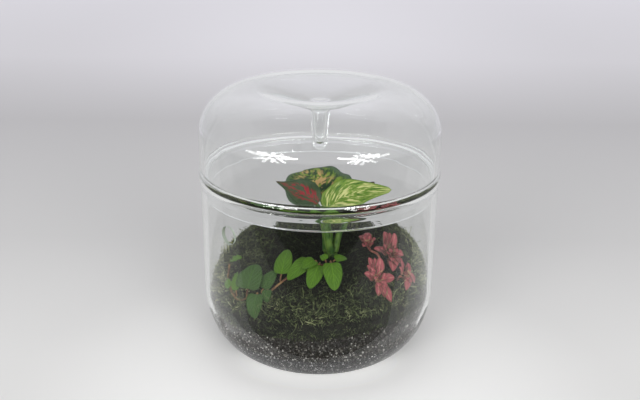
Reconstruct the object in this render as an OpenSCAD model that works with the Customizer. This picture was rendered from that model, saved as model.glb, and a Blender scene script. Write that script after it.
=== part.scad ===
// Planted glass terrarium: a round jar, a lift-off domed lid with a drip stem, and the planting inside.
// Origin: centre of the foot ring, on the surface the jar stands on. +Z is up, the front faces -Y.

/* [Jar] */
// Outer diameter of the jar and of the lid
jar_d = 200; // [150:1:260]
// Height of the jar up to its rim
jar_h = 154; // [130:1:200]
// Thickness of the jar wall
jar_wall = 3; // [2:0.1:5]
// Thickness of the jar floor at the foot ring
floor_t = 5; // [4:0.1:9]
// Diameter of the flat foot
foot_d = 134; // [110:1:145]
// Width of the foot ring that touches the table
foot_ring_w = 7; // [4:0.5:15]
// Height of the hollow under the foot
punt_h = 2; // [0.5:0.1:2.5]
// Height of the rounded heel between foot and wall
heel_h = 54; // [40:1:70]
// Rounding of the fire-polished rim edges
rim_round = 0.8; // [0.3:0.1:1.1]
// Diameter of the vent hole in the wall
vent_d = 15; // [8:0.5:24]
// Height of the vent hole centre
vent_z = 124; // [100:1:128]
// Angle of the vent hole, left of the front
vent_turn = 45; // [20:1:70]

/* [Lid] */
// Height of the lid crown above the jar rim
lid_h = 72; // [60:1:100]
// Thickness of the lid wall
lid_wall = 2.8; // [2:0.1:5]
// Height of the upright part of the lid wall
lid_side_h = 34; // [20:1:45]
// Squareness of the lid shoulder, 2 is an ellipse
shoulder_square = 2.05; // [1.8:0.05:2.6]
// Diameter of the crown ring, the highest circle of the lid
crown_d = 100; // [88:1:110]
// Gap between the lid rim and the jar rim
seat_gap = 0.2; // [0.1:0.05:0.5]
// Depth of the collar that locates the lid in the jar mouth
collar_depth = 15; // [8:0.5:20]
// Thickness of the collar
collar_t = 2.5; // [1.8:0.1:4]
// Gap between the collar and the jar mouth, all round
collar_gap = 0.6; // [0.3:0.1:1.5]
// Height above the rim where the lid wall starts to draw in to the collar
collar_blend_h = 9; // [5:0.5:14]

/* [Dish and drip stem] */
// Diameter that the lip of the crown is turned down towards
dish_lip_d = 64; // [52:1:76]
// Slope of the dish where it runs into the stem
dish_slope = 20; // [12:1:28]
// Length over which the dish keeps that slope
dish_run = 10; // [6:0.5:14]
// Height above the rim where the stem starts to flare into the dish
flare_h = 45; // [42:0.5:48]
// Diameter of the stem where it leaves the dish
stem_d = 15; // [12:0.5:20]
// Thickness of the stem wall
stem_wall = 2.6; // [1.5:0.1:4]
// Rounding between the dish and the outside of the stem
stem_round = 4.5; // [3:0.5:6]
// Diameter of the stem above its round tip
tip_d = 12; // [10:0.5:14]
// Height of the tip above the rim
tip_h = 18; // [12:1:28]
// Thickness of solid glass at the tip
tip_t = 6; // [3:0.5:10]

/* [Ground] */
// Height of the top of the drainage grit
grit_h = 24; // [14:1:28]
// Height of the moss at the middle of the mound
moss_peak = 92; // [84:1:104]
// Height of the moss where it meets the glass
moss_edge = 56; // [50:1:60]
// Rise of the mound to the right, per unit of width
moss_tilt = 0.06; // [0:0.01:0.1]
// Height of the low humps in the moss
moss_hump = 1.2; // [0:0.1:2]
// Thickness of the moss blanket
moss_t = 8; // [5:0.5:12]
// Gap between the planting and the glass
fill_gap = 0.8; // [0.4:0.1:2]
// Gap between two things that rest on each other
rest_gap = 0.3; // [0.2:0.05:0.5]
// Depth of a root plug's top under the moss blanket
plug_cover = 2.2; // [1.8:0.1:4]

/* [Tall plant] */
// Diameter of the root plug
tall_plug_d = 22; // [14:1:24]
// Depth of the root plug
tall_plug_h = 32; // [20:1:36]
// Diameter of the stem
tall_stem_d = 12; // [10:0.5:14]
// Diameter of a leaf stalk
tall_stalk_d = 3.6; // [2.4:0.1:4]
// Height of the highest leaf tip above the stem
tall_leaf_h = 62; // [54:1:66]
// Width of the red leaf in front
red_leaf_w = 22; // [16:1:26]
// Width of the large leaf behind
back_leaf_w = 52; // [36:1:56]
// Width of the cream leaf to the right
cream_leaf_w = 30; // [20:1:34]
// Width of the small leaf tucked behind
tucked_leaf_w = 16; // [10:1:20]

/* [Creeper] */
// Diameter of the root plug
creeper_plug_d = 14; // [12:1:16]
// Depth of the root plug
creeper_plug_h = 20; // [12:1:26]
// Diameter of the runners
runner_d = 1.8; // [1.2:0.1:2.2]
// Diameter of a leaf stalk
creeper_stalk_d = 1.2; // [0.8:0.1:1.4]

/* [Pink plant] */
// Diameter of the root plug
pink_plug_d = 30; // [26:1:34]
// Depth of the root plug
pink_plug_h = 18; // [12:1:24]
// Diameter of the stems
pink_stem_d = 2; // [1.4:0.1:2.4]
// Diameter of a leaf stalk
pink_stalk_d = 1; // [0.7:0.1:1.2]

/* [Leaves] */
// Thickness of a large leaf blade
blade_t = 1.2; // [0.8:0.1:1.8]
// Thickness of a small leaf blade
small_blade_t = 0.8; // [0.6:0.1:1.2]

/* [Hidden] */
$fn = 96;
eps = 0.01;

jar_r = jar_d / 2;
foot_r = foot_d / 2;
inner_r = jar_r - jar_wall;
crown_r = crown_d / 2;
collar_r = inner_r - collar_gap;
rest_z = jar_h + seat_gap;
flare = [stem_d / 2 + stem_round, flare_h];

// Steps on the curved stretches of a glass profile, and round the ground layers
curve_steps = 12;
ground_sides = 40;
ground_rings = 10;
mound_square = 6.5;

// Steps round and along a large leaf, a small leaf and a runner
leaf_sides = 8;
leaf_rings = 12;
small_sides = 6;
small_rings = 7;
runner_sides = 6;

// Fold of a small leaf along its midrib: rise of its edge per unit of width
small_fold = 0.12;

// Steps of a small rounding
round_steps = 5;

// Humps and ripples of the moss round the mound
hump_count = 3;
hump_turn = 40;
ripple_count = 7;
ripple_share = 0.7;

// Outline of a leaf blade: half width at its tip, place of its widest point, fullness
leaf_tip = 0.25;
leaf_front = 0.7;
leaf_full = 0.8;

// Diameter of a root plug's lower end, per unit of its upper end
plug_taper = 0.8;

// The planting's places, x and y, are in hundredths of the jar's inner radius
spread = inner_r / 100;

// Where the roots stand
tall_at = spread * [10, -36];
creeper_at = spread * [-9, -53];
pink_at = spread * [59, -54];

// Vectors and curves
function unit(v) = v / norm(v);
function flat(p) = [p.x, p.y, 0];
function mix(a, b, t) = a + (b - a) * t;
function bezier(p, t) = pow(1 - t, 3) * p[0] + 3 * pow(1 - t, 2) * t * p[1]
    + 3 * (1 - t) * t * t * p[2] + pow(t, 3) * p[3];
function bezier_way(p, t) = unit(pow(1 - t, 2) * (p[1] - p[0]) + 2 * (1 - t) * t * (p[2] - p[1])
    + t * t * (p[3] - p[2]));

// Quarter of a superellipse about a centre, from its side (a = 0) to its top (a = 90)
function quarter(centre, rx, rz, square, a) =
    centre + [rx * pow(cos(a), 2 / square), rz * pow(sin(a), 2 / square)];
function steps(n) = [for (i = [0:n]) 90 * i / n];

// Radius of the inside of the jar at a height, less a gap
function bowl_r(z, gap) = let (depth = heel_h - floor_t - gap, k = (heel_h - z) / depth)
    foot_r + (jar_r - foot_r - jar_wall - gap) * (z >= heel_h ? 1 : sqrt(max(0, 1 - k * k)));

// Share of the mound's radius at a ring of points: the rings lie closer where the mound falls
function ring_share(i) = sin(90 * i / ground_rings);

// The mound: its height at a share of its radius and an angle, and at a place
function hump(share, a) = moss_hump * share * (1 - share) * 4
    * (sin(hump_count * a + hump_turn) + ripple_share * sin(ripple_count * a));
function mound(share, a) = moss_edge + (moss_peak - moss_edge) * (1 - pow(share, mound_square))
    + moss_tilt * inner_r * share * cos(a) + hump(share, a);
function mound_r(a) = bowl_r(mound(1, a) - moss_t - rest_gap, fill_gap);
function mound_z(x, y) = let (a = atan2(y, x)) mound(min(1, norm([x, y]) / mound_r(a)), a);
function moss_at(x, y, lift) = [x, y, mound_z(x, y) + lift];
function on_moss(drawn) = moss_at(spread * drawn[0], spread * drawn[1], drawn[2]);
function moss_up(x, y, d = 2) = unit([mound_z(x - d, y) - mound_z(x + d, y),
    mound_z(x, y - d) - mound_z(x, y + d), 2 * d]);

// Top of a root plug: under the lowest soil that its edge meets
function plug_top(at, d) = min([for (a = [0:30:330])
    mound_z(at.x + d / 2 * cos(a), at.y + d / 2 * sin(a))]) - moss_t - plug_cover;

// Triangles of a tube of rings, closed at both ends
function tube_faces(rings, sides) = concat(
    [for (i = [0:rings - 1], k = [0:sides - 1])
        [i * sides + k, i * sides + (k + 1) % sides, (i + 1) * sides + k]],
    [for (i = [0:rings - 1], k = [0:sides - 1])
        [i * sides + (k + 1) % sides, (i + 1) * sides + (k + 1) % sides, (i + 1) * sides + k]],
    [for (k = [1:sides - 2]) [0, k + 1, k]],
    [for (k = [1:sides - 2]) [rings * sides, rings * sides + k, rings * sides + k + 1]]);

// Half width of a leaf along its length: a stalk, then a blade that is widest a third of the way up
function leaf_half(t, width, stalk_d, blade_from) = let (s = max(0, (t - blade_from) / (1 - blade_from)))
    mix(stalk_d / 2, leaf_tip, s) + width / 2 * pow(sin(180 * pow(s, leaf_front)), leaf_full);
function leaf_thick(t, thick, stalk_d, blade_from) = let (s = max(0, (t - blade_from) / (1 - blade_from)))
    mix(stalk_d, thick, min(1, 4 * s)) / 2;

// A leaf with its stalk, along a curve of four points, its upper side turned to face
module leaf(spine, face, width, stalk_d, thick, blade_from, fold, sides = leaf_sides, rings = leaf_rings) {
    across = unit(cross(spine[3] - spine[1], face));
    polyhedron([for (i = [0:rings], k = [0:sides - 1])
        let (t = i / rings, a = 360 * k / sides, way = bezier_way(spine, t),
             side = unit(across - way * (across * way)), up = cross(side, way),
             x = leaf_half(t, width, stalk_d, blade_from) * cos(a),
             y = leaf_thick(t, thick, stalk_d, blade_from) * sin(a) + fold * abs(x))
        bezier(spine, t) + side * x + up * y], tube_faces(rings, sides));
}

// Level direction of a runner at one of its points, taken from the next point where it stands upright
function way_at(points, i) = points[min(len(points) - 1, i + 1)] - points[max(0, i - 1)];
function heading(points, i) = let (way = flat(way_at(points, i)))
    norm(way) > eps ? unit(way) : heading(points, i == len(points) - 1 ? i - 1 : i + 1);

// A runner of round section along points
module runner(points, d) {
    last = len(points) - 1;
    polyhedron([for (i = [0:last], k = [0:runner_sides - 1])
        let (side = cross(heading(points, i), [0, 0, 1]), up = cross(side, unit(way_at(points, i))),
             a = 360 * k / runner_sides)
        points[i] + d / 2 * (side * cos(a) + up * sin(a))], tube_faces(last, runner_sides));
}

// A small leaf that leaves its stem in one direction and arches over to a tip above the moss
module moss_leaf(from, start, tip, rise, width, stalk_d, blade_from) {
    up = moss_up(tip.x, tip.y);
    leaf([from, from + rise * start, mix(from, tip, 0.6) + rise * up, tip], up, width, stalk_d,
        small_blade_t, blade_from, small_fold, small_sides, small_rings);
}

// Glass

module glass_jar() {
    punt_r = foot_r - foot_ring_w;
    outside = [for (a = steps(curve_steps)) [foot_r + (jar_r - foot_r) * sin(a), heel_h * (1 - cos(a))]];
    inside = [for (a = steps(curve_steps))
        [foot_r + (inner_r - foot_r) * sin(a), floor_t + (heel_h - floor_t) * (1 - cos(a))]];
    rim_out = [for (a = [0:30:90]) [jar_r - rim_round * (1 - cos(a)), jar_h - rim_round * (1 - sin(a))]];
    rim_in = [for (a = [90:-30:0]) [inner_r + rim_round * (1 - cos(a)), jar_h - rim_round * (1 - sin(a))]];
    punt = [for (i = [0:4]) let (r = punt_r * i / 4) [r, punt_h * (1 - pow(i / 4, 2))]];
    color("gainsboro", 0.35)
    difference() {
        rotate_extrude() polygon(concat(punt, outside, rim_out, rim_in,
            [for (i = [curve_steps:-1:0]) inside[i]], [[0, floor_t]]));
        rotate([0, 0, -vent_turn]) translate([0, -jar_r - eps, vent_z]) rotate([-90, 0, 0])
            cylinder(d = vent_d, h = 2 * jar_wall + jar_r - sqrt(jar_r * jar_r - vent_d * vent_d / 4));
    }
}

// Dish from its lip down to the flare of the stem, whose rounding has the given radius
function dish(lip_z, lip_r, round_r) = let (down = [-sin(dish_slope), cos(dish_slope)],
    foot = flare + round_r * down, points = [[crown_r, lip_z], [lip_r, lip_z],
    foot + dish_run * [down.y, -down.x], foot])
    [for (i = [1:curve_steps]) bezier(points, i / curve_steps)];

// Arc about a centre, without its first point
function arc(centre, r, from, to) = [for (i = [1:round_steps])
    let (a = mix(from, to, i / round_steps)) centre + r * [cos(a), sin(a)]];

module glass_lid() {
    under_h = lid_h - lid_wall;
    wall_r = jar_r - lid_wall;
    collar_in = collar_r - collar_t;
    tip_r = tip_d / 2;
    bore_tip_r = tip_r - stem_wall;
    throat_r = stem_round + stem_wall;
    lip_r = dish_lip_d / 2;
    rim = [for (a = [90:-30:0]) [jar_r - rim_round * (1 - cos(a)), rim_round * (1 - sin(a))]];
    shoulder = [for (a = steps(curve_steps))
        quarter([crown_r, lid_side_h], jar_r - crown_r, lid_h - lid_side_h, shoulder_square, a)];
    shoulder_under = [for (a = steps(curve_steps))
        quarter([crown_r, lid_side_h], wall_r - crown_r, under_h - lid_side_h, shoulder_square, a)];
    bore = concat(arc(flare, throat_r, 90 + dish_slope, 180),
        [[bore_tip_r, tip_h + tip_t + bore_tip_r]], arc([0, tip_h + tip_t + bore_tip_r], bore_tip_r, 0, -90));
    stem = concat([[0, tip_h]], arc([0, tip_h + tip_r], tip_r, -90, 0),
        [[stem_d / 2, flare_h]], arc(flare, stem_round, 180, 90 + dish_slope));
    collar = [[wall_r, collar_blend_h], [mix(wall_r, collar_in, 0.3), collar_blend_h * 0.6],
        [mix(wall_r, collar_in, 0.85), collar_blend_h * 0.2], [collar_in, -collar_blend_h * 0.3],
        [collar_in, -collar_depth + rim_round], [collar_in + rim_round, -collar_depth],
        [collar_r - rim_round, -collar_depth], [collar_r, -collar_depth + rim_round], [collar_r, 0]];
    under = concat(shoulder_under, dish(under_h, lip_r + 0.6 * lid_wall, stem_round));
    color("white", 0.35)
    translate([0, 0, rest_z]) rotate_extrude() polygon(concat(
        rim, shoulder, dish(lid_h, lip_r, throat_r), bore, stem,
        [for (i = [len(under) - 2:-1:0]) under[i]], collar));
}

// Ground

module grit_layer() {
    gap = fill_gap;
    bottom_z = floor_t + rest_gap;
    side = [for (i = [0:curve_steps]) let (z = bottom_z + (grit_h - bottom_z) * pow(i / curve_steps, 2))
        [bowl_r(max(z, floor_t + gap), gap), z]];
    color("dimgray") rotate_extrude() polygon(concat([[0, bottom_z]], side, [[0, grit_h]]));
}

// Rings of points from a flat middle at low_z, up the bowl side and over the mound less a depth
function ground_ring(share, depth) = [for (k = [0:ground_sides - 1]) let (a = 360 * k / ground_sides)
    [share * mound_r(a) * cos(a), share * mound_r(a) * sin(a), mound(share, a) - depth]];

module soil_solid() {
    low_z = grit_h + rest_gap;
    low_r = bowl_r(low_z, fill_gap);
    low = [for (k = [0:ground_sides - 1])
        let (a = 360 * k / ground_sides) [low_r * cos(a), low_r * sin(a), low_z]];
    rings = concat(low, [for (i = [ground_rings:-1:1])
        each ground_ring(ring_share(i), moss_t + rest_gap)]);
    polyhedron(concat(rings, [[0, 0, low_z], [0, 0, mound(0, 0) - moss_t - rest_gap]]),
        ground_faces(ground_rings));
}

module moss_solid() {
    under = [for (i = [1:ground_rings]) each ground_ring(ring_share(i), moss_t)];
    over = [for (i = [ground_rings:-1:1]) each ground_ring(ring_share(i), 0)];
    polyhedron(concat(under, over, [[0, 0, mound(0, 0) - moss_t], [0, 0, mound(0, 0)]]),
        ground_faces(2 * ground_rings - 1));
}

// Triangles between rings, fanned shut at a first and a last middle point
function ground_faces(rings) = let (n = ground_sides, first = (rings + 1) * n, last = first + 1) concat(
    [for (i = [0:rings - 1], k = [0:n - 1]) [i * n + k, (i + 1) * n + k, i * n + (k + 1) % n]],
    [for (i = [0:rings - 1], k = [0:n - 1])
        [i * n + (k + 1) % n, (i + 1) * n + k, (i + 1) * n + (k + 1) % n]],
    [for (k = [0:n - 1]) [first, k, (k + 1) % n]],
    [for (k = [0:n - 1]) [last, rings * n + (k + 1) % n, rings * n + k]]);

module plug_pocket(at, d, h) {
    translate([at.x, at.y, plug_top(at, d) - h - rest_gap]) cylinder(d = d + 2 * rest_gap, h = moss_peak);
}

module stem_hole(at, d) {
    translate([at.x, at.y, grit_h]) cylinder(d = d + 4 * rest_gap, h = moss_peak);
}

module soil_bed() {
    color("#2b2420")
    difference() {
        soil_solid();
        plug_pocket(tall_at, tall_plug_d, tall_plug_h);
        plug_pocket(creeper_at, creeper_plug_d, creeper_plug_h);
        plug_pocket(pink_at, pink_plug_d, pink_plug_h);
    }
}

module moss_blanket() {
    color("#4a4f38")
    difference() {
        moss_solid();
        stem_hole(tall_at, tall_stem_d);
        for (p = creeper_feet) stem_hole(p, runner_d);
        for (p = pink_feet) stem_hole(p, pink_stem_d);
    }
}

module root_plug(at, d, h) {
    color("#4b382a") translate([at.x, at.y, plug_top(at, d) - h])
        cylinder(d1 = d * plug_taper, d2 = d, h = h);
}

module tall_root_plug() root_plug(tall_at, tall_plug_d, tall_plug_h);
module creeper_root_plug() root_plug(creeper_at, creeper_plug_d, creeper_plug_h);
module pink_root_plug() root_plug(pink_at, pink_plug_d, pink_plug_h);

// Tall plant: a short stem with four stalked leaves on its top

tall_foot_z = plug_top(tall_at, tall_plug_d) + rest_gap;
// Height of the stem over the moss, and of the stalks' feet over the stem
tall_stem_show = 2;
tall_stalk_gap = 0.6;
tall_top = moss_at(tall_at.x, tall_at.y, tall_stem_show);

module tall_stem() {
    color("#5f7a3a") translate([tall_at.x, tall_at.y, tall_foot_z])
        cylinder(d = tall_stem_d, h = tall_top.z - tall_foot_z);
}

// A leaf of the tall plant: where its stalk stands on the stem, in stem radii, then the curve's
// points from there, in shares of the leaf height
module tall_leaf(stand, reach, face, width, blade_from, fold, tint) {
    stand_r = tall_stem_d / 2 * stand;
    foot = tall_top + [stand_r.x, stand_r.y, tall_stalk_gap];
    points = concat([foot], [for (p = reach) foot + tall_leaf_h * p]);
    color(tint) leaf(points, face, width, tall_stalk_d, blade_t, blade_from, fold);
}

module tall_leaf_red()
    tall_leaf([-0.54, 0], [[-0.03, 0, 0.8], [-0.23, 0.02, 0.78], [-0.66, -0.05, 1]],
        [0.1, -0.9, 0.4], red_leaf_w, 0.42, 0.15, "#8c2f35");
module tall_leaf_back()
    tall_leaf([0, 0.54], [[-0.05, -0.03, 0.76], [-0.16, 0.1, 0.9], [-0.39, 0.55, 0.92]],
        [0, -0.6, 0.8], back_leaf_w, 0.42, 0.12, "#4d6b35");
module tall_leaf_cream()
    tall_leaf([0, -0.54], [[-0.18, -0.03, 0.74], [0.05, -0.03, 0.87], [0.76, -0.03, 0.87]],
        [-0.15, -0.75, 0.6], cream_leaf_w, 0.4, 0.15, "#93b356");
module tall_leaf_tucked()
    tall_leaf([0.54, 0], [[0.1, 0.1, 0.48], [0.27, 0.23, 0.65], [0.53, 0.35, 0.85]],
        [-0.3, -0.6, 0.75], tucked_leaf_w, 0.45, 0.12, "#6e2a33");

// Creeper: one runner to the left and one shoot to the right, both from the same roots

creeper_feet = spread * [[-12, -51], [-6, -54]];
// Height of the bend out of the moss, and share of a leaf that is bare stalk
creeper_bend = 1;
creeper_blade_from = 0.3;
creeper_foot_z = plug_top(creeper_at, creeper_plug_d) + rest_gap;
// Ways of the two stems as drawn, [x, y, height over the moss]
runner_way = [[-14, -55, 2], [-18, -61, 1.8], [-23, -68, 1.8], [-33, -74, 2.2], [-39, -76, 2.4],
    [-47, -75, 2.4], [-57, -71, 2.4], [-65, -67, 2.4], [-71, -59, 2.6], [-75, -50, 3], [-77, -41, 5],
    [-76, -35, 8]];
shoot_way = [[-5, -58, 3], [0, -64, 4], [6, -65, 5], [12, -64, 6]];

module creeper_stem(foot, way) {
    color("#7a6a45") runner(concat([[foot.x, foot.y, creeper_foot_z]],
        [moss_at(foot.x, foot.y, creeper_bend)], [for (p = way) on_moss(p)]), runner_d);
}

module creeper_runner() creeper_stem(creeper_feet[0], runner_way);
module creeper_shoot() creeper_stem(creeper_feet[1], shoot_way);

// Leaves: [place along the way, tip on the moss, rise of the stalk, width of the blade]
shoot_leaves = [
    [0.0, [-25, -74, 4], 4, 14],
    [0.7, [-13, -71, 8], 4, 11],
    [1.2, [-7, -84, 5], 3, 13],
    [2.6, [13, -85, 5], 6, 15],
    [3.0, [23, -60, 9], 3, 8],
    [2.0, [2, -61, 10], 4, 7]];
runner_leaves = [
    [2.8, [-26, -44, 9], 4, 14],
    [6.2, [-51, -53, 6], 5, 24],
    [4.9, [-35, -63, 4], 3, 13],
    [4.2, [-41, -82, 4], 4, 8],
    [5.2, [-51, -84, 4], 6, 15],
    [7.4, [-68, -50, 7], 4, 8],
    [8.2, [-77, -47, 7], 4, 7],
    [11, [-65, -42, 10], 3, 6]];

function along(way, s) = let (i = min(floor(s), len(way) - 2)) on_moss(mix(way[i], way[i + 1], s - i));

module creeper_blade(way, row) {
    seat = along(way, row[0]) + [0, 0, runner_d / 2 + rest_gap];
    color("#5f9a35") moss_leaf(seat, [0, 0, 1], on_moss(row[1]), row[2], row[3], creeper_stalk_d,
        creeper_blade_from);
}

// Pink plant: four thin stems, each with a rosette of narrow leaves

pink_feet = spread * [[53, -63], [59, -45], [67, -56], [51, -44]];
pink_foot_z = plug_top(pink_at, pink_plug_d) + rest_gap;
pink_heads = [[48, -70, 9], [60, -43, 10], [72, -53, 7], [43, -31, 7]];
// Height between two leaves on a stem, and of the stem's bend above the moss
pink_step = 1.2;
pink_bend = 2;
// Rise of a leaf over its seat, and share of it that is bare stalk
pink_rise = 3;
pink_blade_from = 0.15;
// Leaves of each rosette from the top down: [tip on the moss, width]
pink_leaves = [
    [[[50, -61, 15], 7], [[41, -60, 12], 6], [[37, -72, 9], 7], [[62, -64, 8], 7], [[48, -79, 5], 6],
     [[59, -76, 4], 7]],
    [[[64, -36, 21], 6], [[56, -30, 17], 7], [[71, -45, 12], 7], [[46, -48, 11], 8], [[70, -50, 8], 6],
     [[61, -59, 6], 8]],
    [[[75, -45, 9], 5], [[80, -52, 6], 5], [[72, -62, 4], 7]],
    [[[42, -17, 9], 6], [[35, -22, 8], 6], [[38, -37, 6], 6]]];

module pink_stem(i) {
    foot = pink_feet[i];
    head = pink_heads[i];
    color("#9a6a58") runner([[foot.x, foot.y, pink_foot_z], moss_at(foot.x, foot.y, pink_bend),
        on_moss([head.x, head.y, pink_bend]), on_moss(head)], pink_stem_d);
}

module pink_rosette(i) {
    head = on_moss(pink_heads[i]);
    for (j = [0:len(pink_leaves[i]) - 1]) {
        tip = on_moss(pink_leaves[i][j][0]);
        out = unit(flat(tip) - flat(head));
        seat = head + out * (pink_stem_d / 2 + rest_gap) - [0, 0, pink_stalk_d / 2 + pink_step * j];
        color("#c9606a") moss_leaf(seat, out, tip, pink_rise, pink_leaves[i][j][1], pink_stalk_d,
            pink_blade_from);
    }
}

glass_jar();
glass_lid();
grit_layer();
soil_bed();
moss_blanket();
tall_root_plug();
tall_stem();
tall_leaf_red();
tall_leaf_back();
tall_leaf_cream();
tall_leaf_tucked();
creeper_root_plug();
creeper_runner();
creeper_shoot();
for (i = [1:6])
    creeper_blade(shoot_way, shoot_leaves[i - 1]);
for (i = [1:8])
    creeper_blade(runner_way, runner_leaves[i - 1]);
pink_root_plug();
for (i = [1:4])
    pink_stem(i - 1);
for (i = [1:4])
    pink_rosette(i - 1);
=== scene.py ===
"""Looks of the planted glass terrarium: clear glass, drainage grit, soil, moss and three small plants.

Lengths are in metres, in the frame of the solids: origin at the middle of the foot, +Z up, front at -Y.
"""

import math
from typing import NamedTuple

import bpy
import numpy as np
from mathutils import Matrix, Vector
from mathutils import noise as lumps


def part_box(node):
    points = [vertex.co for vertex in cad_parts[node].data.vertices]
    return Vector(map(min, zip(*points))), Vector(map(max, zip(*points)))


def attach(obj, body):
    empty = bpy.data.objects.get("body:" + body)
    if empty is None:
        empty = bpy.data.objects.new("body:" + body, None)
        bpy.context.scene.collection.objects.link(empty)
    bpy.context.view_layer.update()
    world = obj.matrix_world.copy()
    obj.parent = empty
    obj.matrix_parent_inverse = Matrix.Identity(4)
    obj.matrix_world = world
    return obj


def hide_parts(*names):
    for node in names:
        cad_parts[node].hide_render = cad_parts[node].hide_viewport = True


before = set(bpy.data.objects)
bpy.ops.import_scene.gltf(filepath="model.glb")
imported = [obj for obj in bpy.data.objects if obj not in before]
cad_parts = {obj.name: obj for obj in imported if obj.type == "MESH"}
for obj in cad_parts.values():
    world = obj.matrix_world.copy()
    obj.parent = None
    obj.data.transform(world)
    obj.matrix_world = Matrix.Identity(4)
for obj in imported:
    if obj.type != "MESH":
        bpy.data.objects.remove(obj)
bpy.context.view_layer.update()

MM = 0.001

# Glass sizes: the outer ones from the frame, the walls as the solids have them. The crown is wider and its
# dish shallower than theirs, the blend above the collar is shorter, and the rims have a bead.
_, jar_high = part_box("glass_jar")
lid_low, lid_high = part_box("glass_lid")
JAR_R = jar_high.x
JAR_H = jar_high.z
JAR_WALL = 3 * MM
FLOOR_T = 5 * MM
FOOT_R = 67 * MM
FOOT_RING_W = 7 * MM
PUNT_H = 2 * MM
HEEL_H = 54 * MM
INNER_R = JAR_R - JAR_WALL
VENT_R = 7.5 * MM
VENT_Z = 124 * MM
VENT_TURN = math.radians(45)
VENT_WAY = Vector((-math.sin(VENT_TURN), -math.cos(VENT_TURN), 0))
VENT_EDGE_NEAR = 0.3 * MM

LID_Z = JAR_H + 0.2 * MM
LID_H = lid_high.z - LID_Z
LID_WALL = 2.8 * MM
LID_SIDE_H = 34 * MM
SHOULDER_SQUARE = 2.05
CROWN_R = 56 * MM
COLLAR_R = INNER_R - 0.6 * MM
COLLAR_T = 2.5 * MM
COLLAR_DEPTH = LID_Z - lid_low.z
COLLAR_BLEND_H = 6.5 * MM
COLLAR_BLEND_BELOW = 0.3
SEAT_FILLET = 0.5 * MM
RIM_ROUND = 1.8 * MM
BEAD = 0.9 * MM
BEAD_H = 5 * MM
DISH_LIP_R = 42 * MM
DISH_SLOPE = math.radians(14)
DISH_RUN = 16 * MM
FLARE_H = 52.5 * MM
STEM_R = 7.5 * MM
STEM_WALL = 2.6 * MM
STEM_ROUND = 4.5 * MM
TIP_R = 6 * MM
TIP_H = 18 * MM
TIP_T = 6 * MM
GLASS_IOR = 1.47
GLASS_WAVE_SCALE = 55.0
LID_WAVE = 0.2 * MM
CROWN_GLASS_FROM = 0.25
MOST_WALLS = 9
WET_IOR = 1.1
WET_RANGE = (24 * MM, 44 * MM)
WET_EDGE = 5 * MM
WET_EDGE_SCALE = 60.0
SPIN_STEPS = 160
CURVE_STEPS = 40

# Ground sizes, as the solids have them
GRIT_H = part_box("grit_layer")[1].z
MOSS_PEAK = 92 * MM
MOSS_EDGE = 56 * MM
MOSS_TILT = 0.06
MOSS_HUMP = 1.2 * MM
MOSS_T = 8 * MM
MOUND_SQUARE = 6.5
FILL_GAP = 0.8 * MM
REST_GAP = 0.3 * MM

# Painted shade: darker moss round the tall plant, under its leaves; painted highlight: paler moss on the
# flanks
LEAF_SHADE_AT = (3 * MM, -20 * MM)
LEAF_SHADE_RANGE = (32 * MM, 62 * MM)
LEAF_SHADE_DARKER = -0.3
FLANK_GLINT_RANGE = (55 * MM, 90 * MM)
FLANK_GLINT = 0.2

# Planting: places have x and y in hundredths of the jar's inner radius and heights in millimetres
SPREAD = INNER_R / 100
TALL_AT = (10, -36)
TALL_STEM_R = 6 * MM
TALL_STEM_SHOW = 2 * MM
TALL_STALK_GAP = 0.6 * MM
TALL_STALK_R = 1.8 * MM
TALL_LEAF_H = 62 * MM
CREEPER_FEET = ((-12, -51), (-6, -54))
RUNNER_R = 0.9 * MM
CREEPER_STALK_R = 0.6 * MM
CREEPER_BLADE_FROM = 0.3
RUNNER_WAY = ((-14, -55, 2), (-18, -61, 1.8), (-23, -68, 1.8), (-33, -74, 2.2), (-39, -76, 2.4),
              (-47, -75, 2.4), (-57, -71, 2.4), (-65, -67, 2.4), (-71, -59, 2.6), (-75, -50, 3),
              (-77, -41, 5), (-76, -35, 8))
# Runner leaves with painted shade, which take a darker copy of the leaf green
RUNNER_SHADED = (2, 3, 4, 5)
SHOOT_WAY = ((-5, -58, 3), (0, -64, 4), (6, -65, 5), (12, -64, 6))
PINK_FEET = ((53, -63), (59, -45), (67, -56), (51, -44))
PINK_HEADS = ((48, -70, 9), (60, -43, 10), (72, -53, 7), (43, -31, 7))
PINK_STEM_R = 1 * MM
PINK_STALK_R = 0.5 * MM
PINK_STEP = 1.2 * MM
PINK_BEND = 2
PINK_RISE = 3 * MM
PINK_BLADE_FROM = 0.15
PINK_WIDER = 1.15
PINK_INNER_REACH = 0.95
PINK_INNER_WIDTH = 0.8
PINK_SHORT_REACH = 0.6
PINK_SHORT_WIDTH = 0.75
PINK_YOUNG_REACH = 6
PINK_YOUNG_RISE = 2.5
PINK_YOUNG_WIDTH = 4

random_draw = np.random.default_rng(7)


# Curves and the mound

def mix(a, b, share):
    return a + (b - a) * share


def smooth(low, high, value):
    share = min(1, max(0, (value - low) / (high - low)))
    return share * share * (3 - 2 * share)


def sweep(start, end, steps):
    """Angles from start to end, both in degrees, as radians."""
    return [math.radians(mix(start, end, i / steps)) for i in range(steps + 1)]


def bezier(points, t):
    a, b, c, d = points
    return (1 - t) ** 3 * a + 3 * (1 - t) ** 2 * t * b + 3 * (1 - t) * t * t * c + t ** 3 * d


def bezier_way(points, t):
    a, b, c, d = points
    return ((1 - t) ** 2 * (b - a) + 2 * (1 - t) * t * (c - b) + t * t * (d - c)).normalized()


def bowl_r(z, gap):
    """Inner radius of the jar at a height, less a gap."""
    if z >= HEEL_H:
        return INNER_R - gap
    share = (HEEL_H - z) / (HEEL_H - FLOOR_T - gap)
    return FOOT_R + (INNER_R - gap - FOOT_R) * math.sqrt(max(0, 1 - share * share))


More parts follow.
